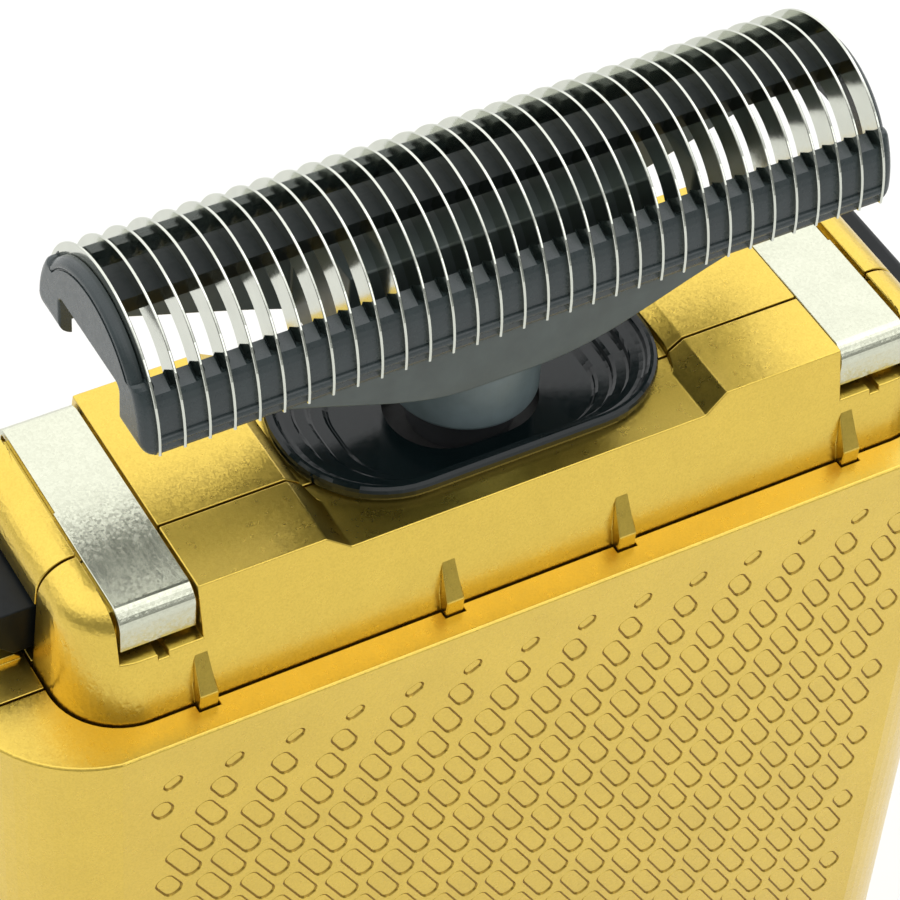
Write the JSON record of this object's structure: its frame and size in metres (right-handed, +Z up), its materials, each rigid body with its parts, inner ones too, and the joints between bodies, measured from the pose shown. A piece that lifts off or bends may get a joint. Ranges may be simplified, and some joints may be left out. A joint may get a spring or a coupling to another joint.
{
  "type": "electric foil shaver",
  "caption": "Compact electric shaver with the foil head off: arched cutter on a driven post, rubber boot, gold two-shell body with side release buttons.",
  "frame": {"origin": "centre of the base's bounding box, on the surface the body stands on", "axes": "+Z up from the base to the cutter, +X along the cutter, -Y towards the front panel with the power button"},
  "size_m": [0.0646, 0.0228, 0.1086],
  "materials": {
    "gold_paint": "satin metallic gold paint",
    "strap_steel": "fine-grained satin stainless",
    "blade_steel": "ground bright steel",
    "carrier_plastic": "dark slate, fine satin",
    "hub_plastic": "mid grey, satin",
    "boss_plastic": "grey, smooth",
    "boot_rubber": "glossy black",
    "seal_rubber": "dull black",
    "button_slate": "dark slate",
    "bezel_black": "gloss black",
    "button_gold": "spun gold",
    "lens_clear": "milky light window",
    "screw_steel": "zinc plated",
    "spring_steel": "drawn wire",
    "shaft_steel": "ground",
    "bush_bronze": "sintered bronze",
    "frame_plastic": "black glass-filled",
    "drive_plastic": "natural acetal",
    "motor_steel": "drawn steel can",
    "cell_wrap": "shrink sleeve",
    "tab_nickel": "nickel strip",
    "board_green": "solder mask",
    "chip_black": "moulded package"
  },
  "bodies": {
    "body": {"front_shell": "gold_paint", "rear_shell": "gold_paint", "base_cap": "gold_paint", "charge_socket": "bezel_black", "case_screws": "screw_steel", "neck_front": "gold_paint", "neck_rear": "gold_paint", "neck_gasket": "seal_rubber", "left_strap": "strap_steel", "right_strap": "strap_steel", "seal_boot": "boot_rubber", "drive_frame": "frame_plastic", "guide_rods": "shaft_steel", "frame_screws": "screw_steel", "motor_can": "motor_steel", "motor_end_bell": "frame_plastic", "motor_screws": "screw_steel", "battery_cells": "cell_wrap", "battery_cradle": "frame_plastic", "battery_tabs": "tab_nickel", "main_board": "board_green", "board_chips": "chip_black", "button_ring": "bezel_black", "tact_switch": "bezel_black", "button_spring": "spring_steel", "indicator_lens": "lens_clear", "left_release_spring": "spring_steel", "right_release_spring": "spring_steel"},
    "oscillator": {"carriage": "drive_plastic", "guide_bushes": "bush_bronze", "drive_post": "frame_plastic", "post_wiper": "seal_rubber", "float_pin": "shaft_steel", "float_spring": "spring_steel"},
    "cutter": {"cutter_hub": "hub_plastic", "float_boss": "boss_plastic", "cutter_carrier": "carrier_plastic", "cutter_blades": "blade_steel"},
    "rotor": {"motor_rotor": "shaft_steel", "eccentric_cam": "bush_bronze", "crank_pin": "shaft_steel"},
    "power_button": {"power_button": "button_gold"},
    "left_release": {"left_release_button": "button_slate"},
    "right_release": {"right_release_button": "button_slate"}
  },
  "joints": [
    {"name": "cutter_oscillation", "type": "slide", "parent": "body", "child": "oscillator", "axis": [1, 0, 0], "range_m": [-0.0012, 0.0012]},
    {"name": "cutter_float", "type": "slide", "parent": "oscillator", "child": "cutter", "axis": [0, 0, -1], "range_m": [0, 0.0015], "stiffness_N_per_m": 400, "springref_m": -0.002, "deforming": ["float_spring"]},
    {"name": "motor_spin", "type": "hinge", "parent": "body", "child": "rotor", "pos_m": [0, 0, 0.06], "axis": [0, 0, 1], "continuous": true},
    {"name": "power_press", "type": "slide", "parent": "body", "child": "power_button", "axis": [0, 1, 0], "range_m": [0, 0.0008], "stiffness_N_per_m": 800, "springref_m": -0.0004, "deforming": ["button_spring"]},
    {"name": "left_release_press", "type": "slide", "parent": "body", "child": "left_release", "axis": [1, 0, 0], "range_m": [0, 0.0012], "stiffness_N_per_m": 500, "springref_m": -0.0006, "deforming": ["left_release_spring"]},
    {"name": "right_release_press", "type": "slide", "parent": "body", "child": "right_release", "axis": [-1, 0, 0], "range_m": [0, 0.0012], "stiffness_N_per_m": 500, "springref_m": -0.0006, "deforming": ["right_release_spring"]}
  ]
}
